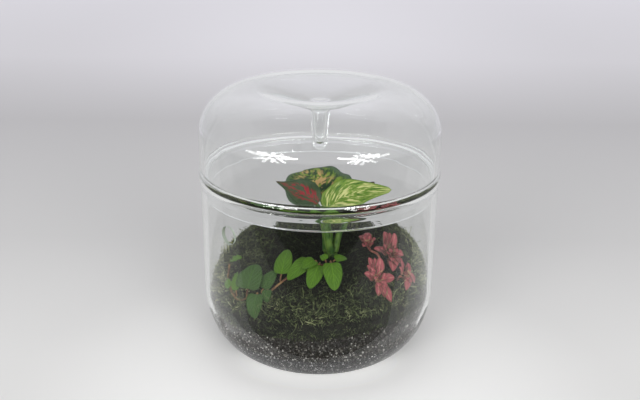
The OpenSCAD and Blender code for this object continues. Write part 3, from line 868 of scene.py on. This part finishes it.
def make_moss():
    shares = [math.sin(math.radians(90 * i / MOSS_RINGS)) for i in range(MOSS_RINGS + 1)]
    under = [(s, -1.0) for s in shares]
    over = [(s, 0.0) for s in reversed(shares)]
    moss = lathe("moss_mound", under + over)
    for v in moss.data.vertices:
        angle = math.atan2(v.co.y, v.co.x)
        share = min(1, math.hypot(v.co.x, v.co.y))
        x, y = share * mound_r(angle) * math.cos(angle), share * mound_r(angle) * math.sin(angle)
        lift = moss_lift(x, y, share) if v.co.z > -0.5 else -MOSS_T
        v.co = (x, y, mound(share, angle) + lift)
    dark, light = (0.003, 0.003, 0.002, 1), (0.014, 0.014, 0.009, 1)
    moss.data.materials.append(ground_material("moss_ground", dark, light, 260.0, 1.2 * MM))
    finish_piece(moss, "jar", "moss", "moss_blanket")


def strand_root(share, angle, down):
    """Root of a strand and the way it stands: on top of the moss, or on its side below the edge."""
    if down > 0:
        radius = mound_r(angle) - 0.4 * MM
        root = (radius * math.cos(angle), radius * math.sin(angle), mound(1, angle) - down)
        return root, (math.cos(angle), math.sin(angle), 0)
    radius = share * (mound_r(angle) - 0.5 * MM)
    x, y = radius * math.cos(angle), radius * math.sin(angle)
    return (x, y, mound_z(x, y) + moss_lift(x, y, share)), tuple(moss_up(x, y))


def make_strands(name, count, length, width, tone):
    """Thin pointed strands of moss that lie over the mound, three-sided, each bent once."""
    pick = random_draw.uniform(0, 1, count)
    at_edge = pick < EDGE_UP_TO
    share = np.sqrt(random_draw.uniform(0, 1, count)) * 0.985
    share = np.where(at_edge, random_draw.uniform(*EDGE_RING, count), share)
    drop = np.where(pick > SIDE_FROM, random_draw.uniform(0.05, 1, count) * MOSS_T, 0)
    angle = random_draw.uniform(0, math.tau, count)
    stands = [strand_root(*row) for row in zip(share, angle, drop)]
    roots = np.array([root for root, _ in stands])
    ups = np.array([up for _, up in stands])
    lean = np.cross(ups, random_draw.normal(size=(count, 3)))
    lean /= np.linalg.norm(lean, axis=1, keepdims=True)
    side = np.cross(ups, lean)
    long = random_draw.uniform(*length, count)[:, None]
    thick = (random_draw.uniform(*width, count) * np.where(at_edge, EDGE_THICKER, 1))[:, None]
    rise = (random_draw.uniform(0.15, 0.55, count) * np.where(at_edge, EDGE_STEEPER, 1))[:, None]
    bend = random_draw.uniform(-0.25, 0.25, count)[:, None]
    middle = roots + long * (0.5 * lean + rise * ups + bend * side)
    tip = roots + long * (0.95 * lean + 0.6 * rise * ups)
    foot = roots - 0.4 * MM * ups
    spokes = [(math.cos(a), math.sin(a)) for a in (0, math.tau / 3, 2 * math.tau / 3)]
    rings = [centre + r * thick * (c * side + s * ups)
             for centre, r in ((foot, 1), (middle, 0.8)) for c, s in spokes]
    points = np.stack(rings + [tip], axis=1)
    points[..., 2] = np.maximum(points[..., 2], MOSS_EDGE - MOSS_T - MOSS_TILT * INNER_R)
    reach = np.linalg.norm(points[..., :2], axis=2, keepdims=True)
    points[..., :2] *= np.minimum(1, (INNER_R - FILL_GAP) / reach)
    faces = np.array([(0, 2, 1)] + [f for k in range(3) for n in [(k + 1) % 3]
                                    for f in ((k, n, 3 + n), (k, 3 + n, 3 + k), (3 + k, 3 + n, 6))])
    step = np.arange(count)[:, None, None] * 7
    # Painted highlight: edge strands a little paler
    edge_glint = np.where(at_edge, EDGE_GLINT, 0)
    shade = np.repeat(random_draw.uniform(*tone, count) + edge_glint, 7)
    return copies_mesh(name, points.reshape(-1, 3), (faces[None] + step).reshape(-1, 3), shade)


def make_moss_strands():
    mat = strand_material("moss", MOSS_TONES)
    for name, count, length, width, tone in (
            ("moss_strands_low", STRANDS, (1.5 * MM, 4 * MM), (0.16 * MM, 0.32 * MM), (0.0, 0.75)),
            ("moss_strands_high", STRANDS, (2 * MM, 5 * MM), (0.14 * MM, 0.28 * MM), (0.1, 0.85)),
            ("moss_strands_long", LONG_STRANDS, (5 * MM, 12 * MM), (0.14 * MM, 0.24 * MM), (0.5, 0.85))):
        strands = make_strands(name, count, length, width, tone)
        strands.data.materials.append(mat)
        finish_piece(strands, "jar", "moss")


make_moss()
make_moss_strands()


# Plants

class Look(NamedTuple):
    """Shape of a leaf blade, beside its middle line and its width."""
    full: float = 0.7
    front: float = 0.75
    pinch: float = 0.0
    lobe: float = 0.0
    fold: float = 0.12
    ripple: float = 0.0
    waves: float = 2.5


class Make(NamedTuple):
    """What all leaves of one plant share."""
    stalk_r: float
    thickness: float
    grid: tuple
    stalk_foot: float = 1.0


TALL_MAKE = Make(TALL_STALK_R, 0.9 * MM, (24, 40), 1.9)
CREEPER_MAKE = Make(CREEPER_STALK_R, 0.5 * MM, (14, 18))
PINK_MAKE = Make(PINK_STALK_R, 0.45 * MM, (10, 16))


def leaf_frame(spine, face, t):
    """Point on a leaf's middle line, with its directions across, along and up."""
    across = (spine[3] - spine[1]).cross(face).normalized()
    way = bezier_way(spine, t)
    side = (across - way * across.dot(way)).normalized()
    return bezier(spine, t), side, way, side.cross(way)


def blade(name, spine, face, width, blade_from, look, thickness, grid):
    """A leaf blade on the far part of its middle line: a thin closed sheet with a UV map."""
    bpy.ops.object.select_all(action="DESELECT")
    bpy.ops.mesh.primitive_grid_add(x_subdivisions=grid[0], y_subdivisions=grid[1], size=2)
    obj = named(name)
    for v in obj.data.vertices:
        u, s = v.co.x, (v.co.y + 1) / 2
        centre, side, way, up = leaf_frame(spine, face, mix(blade_from, 1, s))
        outline = max(0, math.sin(math.pi * s ** look.front)) ** look.full
        outline *= 1 - look.pinch * smooth(0.55, 1, s)
        x = u * (0.15 * MM + width / 2 * outline)
        lift = look.fold * (math.hypot(x, 0.08 * width) - 0.08 * width)
        lift += look.ripple * width * u * u * math.sin(math.tau * look.waves * s + 2 * (u > 0)) * outline
        back = look.lobe * width * (2 * x / width) ** 2 * (1 - s) ** 2
        v.co = centre + side * x + up * lift - way * back
    apply_modifier(obj, "SOLIDIFY", thickness=thickness, offset=0)
    bpy.ops.object.shade_smooth()
    return obj


def leaf_stalk(name, spine, face, blade_from, radius, foot):
    """The stalk of a leaf, from its foot out along the underside of the blade as its midrib."""
    stops = [(0, foot),
             (blade_from / 3, mix(1, foot, 0.7)),
             (blade_from * 2 / 3, mix(1, foot, 0.3)),
             (blade_from, 0.95),
             (mix(blade_from, 1, 0.3), 0.5),
             (mix(blade_from, 1, 0.75), 0.2)]
    points, radii = [], []
    for t, share in stops:
        centre, _, _, up = leaf_frame(spine, face, t)
        points.append(centre - up * radius * share * 0.8 * (t >= blade_from))
        radii.append(radius * share)
    return stalk(name, points, radii)


def make_leaf(name, spine, face, width, blade_from, look, make, blade_mat, stalk_mat):
    sheet = blade(name, spine, face, width, blade_from, look, make.thickness, make.grid)
    sheet.data.materials.append(blade_mat)
    stem = leaf_stalk(name + "_stalk", spine, face, blade_from, make.stalk_r, make.stalk_foot)
    stem.data.materials.append(stalk_mat)
    return join(name, sheet, stem)


def moss_spine(start, way, tip, rise):
    """Middle line of a small leaf that arches over the moss to its tip, and the way up there."""
    up = moss_up(tip.x, tip.y)
    return [start, start + rise * way, start.lerp(tip, 0.6) + rise * up, tip], up


stalk_green = stem_material("stalk_green", (0.02, 0.06, 0.008, 1), (0.08, 0.14, 0.022, 1), 120.0)
stalk_pink = stem_material("stalk_pink", (0.2, 0.06, 0.05, 1), (0.34, 0.14, 0.09, 1), 200.0)
runner_brown = stem_material("runner_brown", (0.1, 0.045, 0.025, 1), (0.22, 0.13, 0.05, 1), 200.0)
roots = ground_material("roots", (0.02, 0.014, 0.009, 1), (0.12, 0.09, 0.06, 1), 300.0, 0.6 * MM)


def make_tall_plant():
    x, y = TALL_AT[0] * SPREAD, TALL_AT[1] * SPREAD
    top = Vector((x, y, mound_z(x, y) + TALL_STEM_SHOW))
    foot_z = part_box("tall_stem")[0].z
    heights = [foot_z, mix(foot_z, top.z, 0.4), mix(foot_z, top.z, 0.8), top.z]
    crown = stalk("tall_crown", [Vector((x, y, z)) for z in heights],
                  [TALL_STEM_R * share for share in (0.9, 1.0, 0.98, 0.92)], 16)
    crown.data.materials.append(stalk_green)
    finish_piece(crown, "jar", "stalk_green", "tall_stem")
    crimson = red_leaf_material()
    # Kind, foot of the stalk in stem radii, middle line in leaf heights, facing, width in millimetres,
    # start of the blade, shape, finish and its slot
    leaves = (
        ("red", (-0.54, 0), ((-0.03, 0, 0.8), (-0.23, 0.02, 0.78), (-0.66, -0.05, 1)),
         (0.1, -0.9, 0.4), 22, 0.42, Look(full=0.7, pinch=0.6, fold=0.3, ripple=0.06),
         crimson, "leaf_red"),
        ("back", (0, 0.54), ((-0.05, -0.03, 0.76), (-0.16, 0.1, 0.9), (-0.38, 0.6, 0.9)),
         (0.25, -0.7, 0.7), 58, 0.42, Look(full=0.42, front=0.65, fold=0.1, ripple=0.03, lobe=0.1),
         back_leaf_material(), "leaf_variegated"),
        ("cream", (0, -0.54), ((-0.18, -0.03, 0.74), (0.05, -0.03, 0.87), (0.77, -0.03, 0.905)),
         (-0.15, -0.75, 0.6), 28, 0.34, Look(full=0.42, front=0.65, pinch=0.45, fold=0.2, ripple=0.06),
         cream_leaf_material(), "leaf_variegated"),
        ("tucked", (0.54, 0), ((0.1, 0.1, 0.48), (0.27, 0.23, 0.65), (0.53, 0.35, 0.85)),
         (-0.3, -0.6, 0.75), 16, 0.45, Look(),
         crimson, "leaf_red"))
    for kind, stand, reach, face, width, blade_from, look, mat, slot in leaves:
        foot = top + Vector((stand[0] * TALL_STEM_R, stand[1] * TALL_STEM_R, TALL_STALK_GAP))
        spine = [foot] + [foot + TALL_LEAF_H * Vector(p) for p in reach]
        leaf = make_leaf("tall_blade_" + kind, spine, Vector(face), width * MM, blade_from, look,
                         TALL_MAKE, mat, stalk_green)
        finish_piece(leaf, "jar", slot, "tall_leaf_" + kind)


def along(way, place):
    """Point on a creeper's stem, at a place counted in the points of its way."""
    i = min(int(place), len(way) - 2)
    return on_moss([mix(a, b, place - i) for a, b in zip(way[i], way[i + 1])])


def make_creeper():
    foot_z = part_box("creeper_runner")[0].z
    for name, foot, way, node in (("creeper_runner_stem", CREEPER_FEET[0], RUNNER_WAY, "creeper_runner"),
                                  ("creeper_shoot_stem", CREEPER_FEET[1], SHOOT_WAY, "creeper_shoot")):
        neck = on_moss((*foot, 1))
        points = [Vector((neck.x, neck.y, foot_z)), neck] + [on_moss(p) for p in way]
        stem = stalk(name, points, [RUNNER_R] * len(points))
        stem.data.materials.append(runner_brown)
        finish_piece(stem, "jar", "runner_brown", node)
    plain_green = green_leaf_material("leaf_green", (0.015, 0.05, 0.002, 1), (0.085, 0.185, 0.008, 1))
    # Painted shade: a darker copy of the leaf green, for some of the runner's leaves
    shaded_green = green_leaf_material("leaf_green_shaded", (0.01, 0.03, 0.005, 1), (0.042, 0.1, 0.014, 1))
    oval = Look(full=0.6, front=0.68, lobe=0.16, fold=0.12, ripple=0.012)
    # Place on the stem, tip, rise of the stalk and width in millimetres
    shoot_leaves = ((0, (-25, -74, 4), 4, 14), (0.7, (-13, -71, 8), 4, 11), (1.2, (-7, -84, 5), 3, 13),
                    (2.6, (13, -85, 5), 6, 15), (3, (23, -60, 9), 3, 8), (2, (2, -61, 10), 4, 7))
    runner_leaves = ((2.8, (-26, -44, 9), 4, 14), (6.2, (-51, -53, 6), 5, 24), (4.9, (-35, -63, 4), 3, 13),
                     (4.2, (-41, -82, 4), 4, 8), (5.2, (-51, -84, 4), 6, 15), (7.4, (-68, -50, 7), 4, 8),
                     (8.2, (-77, -47, 7), 4, 7), (11, (-65, -42, 10), 3, 6))
    for kind, node, way, rows, shaded_ones in (("shoot", "creeper_leaf", SHOOT_WAY, shoot_leaves, ()),
                                        ("runner", "runner_leaf", RUNNER_WAY, runner_leaves, RUNNER_SHADED)):
        for i, (place, tip, rise, width) in enumerate(rows, 1):
            seat = along(way, place) + Vector((0, 0, RUNNER_R + REST_GAP))
            spine, up = moss_spine(seat, Vector((0, 0, 1)), on_moss(tip), rise * MM)
            green = shaded_green if i in shaded_ones else plain_green
            leaf = make_leaf(f"{kind}_blade_{i}", spine, up, width * MM, CREEPER_BLADE_FROM, oval,
                             CREEPER_MAKE, green, runner_brown)
            finish_piece(leaf, "jar", "leaf_green", f"{node}_{i}")


def pink_tips(rows, head, turn):
    """Tips and widths of a rosette's leaves: the outer ones, then inner, short and young ones."""
    inner = [([mix(head[k], mix(a[k], b[k], 0.5), PINK_INNER_REACH) for k in range(3)],
              PINK_INNER_WIDTH * min(wide_a, wide_b))
             for (a, wide_a), (b, wide_b) in zip(rows, rows[1:])]
    short = [([mix(head[k], tip[k], PINK_SHORT_REACH) for k in range(3)], PINK_SHORT_WIDTH * width)
             for tip, width in rows]
    young = [((head[0] + PINK_YOUNG_REACH * math.cos(a), head[1] + PINK_YOUNG_REACH * math.sin(a),
               head[2] + PINK_YOUNG_RISE), PINK_YOUNG_WIDTH)
             for a in sweep(turn, turn + 288, 4)]
    return (*rows, *inner, *short, *young)


def make_pink_plant():
    foot_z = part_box("pink_stem_1")[0].z
    pink = pink_leaf_material()
    slim = Look(full=0.7, front=0.85, fold=0.2, ripple=0.05, waves=2)
    # Tip and width in millimetres of the outer leaves on each stem
    leaves = ((((50, -61, 15), 7), ((41, -60, 12), 6), ((37, -72, 9), 7), ((62, -64, 8), 7),
               ((48, -79, 5), 6), ((59, -76, 4), 7)),
              (((64, -36, 21), 6), ((56, -30, 17), 7), ((71, -45, 12), 7), ((46, -48, 11), 8),
               ((70, -50, 8), 6), ((61, -59, 6), 8)),
              (((75, -45, 9), 5), ((80, -52, 6), 5), ((72, -62, 4), 7)),
              (((42, -17, 9), 6), ((35, -22, 8), 6), ((38, -37, 6), 6)))
    for i, (foot, head, rows) in enumerate(zip(PINK_FEET, PINK_HEADS, leaves), 1):
        neck = on_moss((*foot, PINK_BEND))
        top = on_moss(head)
        points = [Vector((neck.x, neck.y, foot_z)), neck, on_moss((head[0], head[1], PINK_BEND)), top]
        stem = stalk(f"pink_stalk_{i}", points, [PINK_STEM_R] * 4)
        stem.data.materials.append(stalk_pink)
        finish_piece(stem, "jar", "stalk_pink", f"pink_stem_{i}")
        made = []
        for j, (tip, width) in enumerate(pink_tips(rows, head, 20 * i)):
            end = on_moss(tip)
            out = Vector((end.x - top.x, end.y - top.y, 0)).normalized()
            below = PINK_STALK_R + PINK_STEP * (j % len(rows))
            seat = top + out * (PINK_STEM_R + REST_GAP) - Vector((0, 0, below))
            spine, up = moss_spine(seat, out, end, PINK_RISE)
            made.append(make_leaf(f"pink_blade_{i}_{j}", spine, up, PINK_WIDER * width * MM, PINK_BLADE_FROM,
                                  slim, PINK_MAKE, pink, stalk_pink))
        finish_piece(join(f"pink_whorl_{i}", *made), "jar", "leaf_pink", f"pink_rosette_{i}")


make_tall_plant()
make_creeper()
make_pink_plant()
for plug in ("tall_root_plug", "creeper_root_plug", "pink_root_plug"):
    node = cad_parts[plug]
    node.data.materials.clear()
    node.data.materials.append(roots)


# Camera, floor and light

CAMERA_AIM = Vector((0, 0, 126.5 * MM))
CAMERA_DISTANCE = 685 * MM
CAMERA_ELEVATION = math.radians(21.7)
CAMERA_ROLL = math.radians(0.6)
CAMERA_SHIFT = 0.7 / 640
CAMERA_LENS = 45
CAMERA_SENSOR_W = 36

# Floor, in metres: tones from front to back with a painted shaded band, a painted light patch about the jar
# and a painted paler middle far behind it
FLOOR_RANGE = (-0.3, 2.2)
FLOOR_TONES_AND_SHADE = [(0.0, (0.725, 0.72, 0.7, 1)), (0.1, (0.705, 0.7, 0.685, 1)),
               (0.2, (0.56, 0.555, 0.55, 1)), (0.39, (0.468, 0.46, 0.468, 1)),
               (0.6, (0.61, 0.598, 0.623, 1)), (1.0, (0.668, 0.656, 0.693, 1))]
NEAR_LIGHT_AT = (0, -0.12, 0)
NEAR_LIGHT_RANGE = (0.05, 0.27)
NEAR_PAINTED_LIGHT = (0.94, 0.935, 0.915, 1)
FAR_LIGHT_HALF_W = 0.7
FAR_LIGHT_RANGE = (0.6, 1.5)
FAR_PAINTED_LIGHT = (0.713, 0.7, 0.737, 1)

# Light that the glass gathers on the floor in front of the foot
FOOT_GLOW = 0.38
FOOT_GLOW_W = 36 * MM
FOOT_GLOW_AHEAD = (-0.9, -0.3)

# Sheet that the glass mirrors: a table with a shaded middle, and the dark past its edge
SHADED_RANGE = (0.11, 0.17)
SHADED_TONE = (0.17, 0.17, 0.16, 1)
TABLE_TONE = (0.34, 0.335, 0.32, 1)
TABLE_EDGE = (-0.312, -0.3)
PAST_TABLE_TONE = (0.015, 0.015, 0.015, 1)

# Windows, by their azimuth from the front, and their panes: turn in degrees, start, length and width
WINDOWS = (("left", -38), ("right", 34))
WINDOW_ELEVATION = 8
WINDOW_DISTANCE = 1.6
WINDOW_RISE = Vector((0, 0, 0.12))
WINDOW_RADIANCE = 18
PANES = ((165, 0.08, 0.48, 0.12), (8, 0.14, 0.42, 0.13), (62, 0.1, 0.2, 0.07), (112, 0.1, 0.2, 0.07),
         (-48, 0.1, 0.26, 0.08), (-108, 0.1, 0.24, 0.08), (32, 0.14, 0.22, 0.07), (-148, 0.12, 0.26, 0.08))
DAYLIGHT = 1.45
DAYLIGHT_ELEVATION = 14
DAYLIGHT_SPREAD = math.radians(25)

# Sky: dim low down behind the object, bright above and in front
SKY_HIGH = (0.25, 0.75)
SKY_FRONT = (-0.7, 0.0)
SKY_DIM = (0.6, 0.6, 0.62, 1)
SKY_BRIGHT = (0.85, 0.85, 0.87, 1)


def make_camera():
    data = bpy.data.cameras.new("camera")
    data.lens = CAMERA_LENS
    data.sensor_width = CAMERA_SENSOR_W
    data.shift_x = CAMERA_SHIFT
    camera = bpy.data.objects.new("camera", data)
    bpy.context.scene.collection.objects.link(camera)
    back = Vector((0, -math.cos(CAMERA_ELEVATION), math.sin(CAMERA_ELEVATION)))
    tilt = Matrix.Rotation(math.radians(90) - CAMERA_ELEVATION, 4, "X") @ Matrix.Rotation(CAMERA_ROLL, 4, "Z")
    camera.matrix_world = Matrix.Translation(CAMERA_AIM + CAMERA_DISTANCE * back) @ tilt
    bpy.context.scene.camera = camera


def make_floor():
    bpy.ops.object.select_all(action="DESELECT")
    bpy.ops.mesh.primitive_plane_add(size=30, location=(0, 0, -0.2 * MM))
    floor = named("floor")
    mat, tree, shader, _ = new_material("pale_floor", Roughness=0.85)
    place = object_place(tree)
    x, y, _ = add(tree, "SeparateXYZ", None, {0: place}).outputs
    span = {"Value": y, "From Min": FLOOR_RANGE[0], "From Max": FLOOR_RANGE[1]}
    # Pale tones with a painted shaded band across the floor, then a painted light patch about the jar and
    # painted light far behind in the middle
    tone = ramp(tree, add(tree, "MapRange", None, span).outputs[0], FLOOR_TONES_AND_SHADE)
    apart = add(tree, "VectorMath", {"operation": "DISTANCE"}, {0: place, 1: NEAR_LIGHT_AT}).outputs["Value"]
    tone = blend_colour(tree, remap(tree, apart, *NEAR_LIGHT_RANGE, 1.0, 0.0), tone, NEAR_PAINTED_LIGHT)
    middle = remap(tree, math_node(tree, "ABSOLUTE", x), 0.0, FAR_LIGHT_HALF_W, 1.0, 0.0)
    far_light = math_node(tree, "MULTIPLY", middle, remap(tree, y, *FAR_LIGHT_RANGE))
    tone = blend_colour(tree, far_light, tone, FAR_PAINTED_LIGHT)
    tree.links.new(tone, shader.inputs["Base Color"])
    from_axis = add(tree, "VectorMath", {"operation": "LENGTH"}, {0: place}).outputs["Value"]
    ring = remap(tree, from_axis, FOOT_R, FOOT_R + FOOT_GLOW_W, 1.0, 0.0)
    ahead = math_node(tree, "DIVIDE", y, from_axis)
    glow = math_node(tree, "MULTIPLY", ring, remap(tree, ahead, *FOOT_GLOW_AHEAD, FOOT_GLOW, 0.0))
    seen = add(tree, "LightPath").outputs["Is Camera Ray"]
    tree.links.new(math_node(tree, "MULTIPLY", glow, seen), shader.inputs["Emission Strength"])
    shader.inputs["Emission Color"].default_value = (1, 1, 0.98, 1)
    floor.data.materials.append(mat)


def make_dark_front():
    """A sheet in front that only shows in the glass."""
    bpy.ops.object.select_all(action="DESELECT")
    bpy.ops.mesh.primitive_plane_add(size=4, location=(0, -2.11, 0.4 * MM))
    sheet = named("dark_front")
    bpy.ops.object.transform_apply(location=True, rotation=False, scale=False)
    mat, tree, shader, _ = new_material("dark_front", Roughness=1.0)
    x, y, _ = add(tree, "SeparateXYZ", None, {0: object_place(tree)}).outputs
    aside = remap(tree, math_node(tree, "ABSOLUTE", x), *SHADED_RANGE)
    table = blend_colour(tree, aside, SHADED_TONE, TABLE_TONE)
    edge = remap(tree, y, *TABLE_EDGE)
    tree.links.new(blend_colour(tree, edge, PAST_TABLE_TONE, table), shader.inputs["Base Color"])
    sheet.data.materials.append(mat)
    for ray in ("camera", "diffuse", "transmission", "volume_scatter", "shadow"):
        setattr(sheet, "visible_" + ray, False)


def light_way(azimuth, elevation):
    """Way from the object to a light, by its angles in degrees."""
    a, e = math.radians(azimuth), math.radians(elevation)
    return Vector((math.sin(a) * math.cos(e), -math.cos(a) * math.cos(e), math.sin(e)))


def new_light(name, kind, energy, turned):
    data = bpy.data.lights.new(name, kind)
    data.energy = energy
    light = bpy.data.objects.new(name, data)
    bpy.context.scene.collection.objects.link(light)
    light.rotation_mode = "QUATERNION"
    light.rotation_quaternion = turned
    return light


def make_window(name, azimuth):
    """Bright narrow panes round a middle, each at an angle: a window as wavy glass shows it."""
    way = light_way(azimuth, WINDOW_ELEVATION)
    facing = way.to_track_quat("Z", "Y")
    for i, (turn, start, length, width) in enumerate(PANES):
        turned = facing @ Matrix.Rotation(math.radians(turn), 3, "Z").to_quaternion()
        pane = new_light(f"{name}_{i}", "AREA", WINDOW_RADIANCE * math.pi * length * width, turned)
        pane.data.shape = "RECTANGLE"
        pane.data.size = length
        pane.data.size_y = width
        off_middle = turned @ Vector((start + length / 2, 0, 0))
        pane.location = way * WINDOW_DISTANCE + off_middle + WINDOW_RISE
        pane.visible_camera = False
        pane.visible_diffuse = False


def make_daylight(name, azimuth):
    """Soft light from the side of a window. It lights pieces and floor, and shows in no glass."""
    turned = light_way(azimuth, DAYLIGHT_ELEVATION).to_track_quat("Z", "Y")
    sun = new_light(name, "SUN", DAYLIGHT, turned)
    sun.data.angle = DAYLIGHT_SPREAD
    sun.visible_glossy = False
    sun.visible_transmission = False


def make_world():
    world = bpy.data.worlds.new("room")
    bpy.context.scene.world = world
    world.use_nodes = True
    tree = world.node_tree
    way = add(tree, "SeparateXYZ", None, {0: add(tree, "TexCoord").outputs["Generated"]}).outputs
    high = remap(tree, way[2], *SKY_HIGH)
    front = remap(tree, way[1], *SKY_FRONT, 1.0, 0.0)
    sky = blend_colour(tree, math_node(tree, "MAXIMUM", high, front), SKY_DIM, SKY_BRIGHT)
    tree.links.new(sky, tree.nodes["Background"].inputs[0])


make_camera()
make_floor()
make_dark_front()
make_world()
for side, azimuth in WINDOWS:
    make_window("window_" + side, azimuth)
for side, azimuth in WINDOWS:
    make_daylight("daylight_" + side, azimuth)
bpy.context.scene.view_settings.view_transform = "Standard"
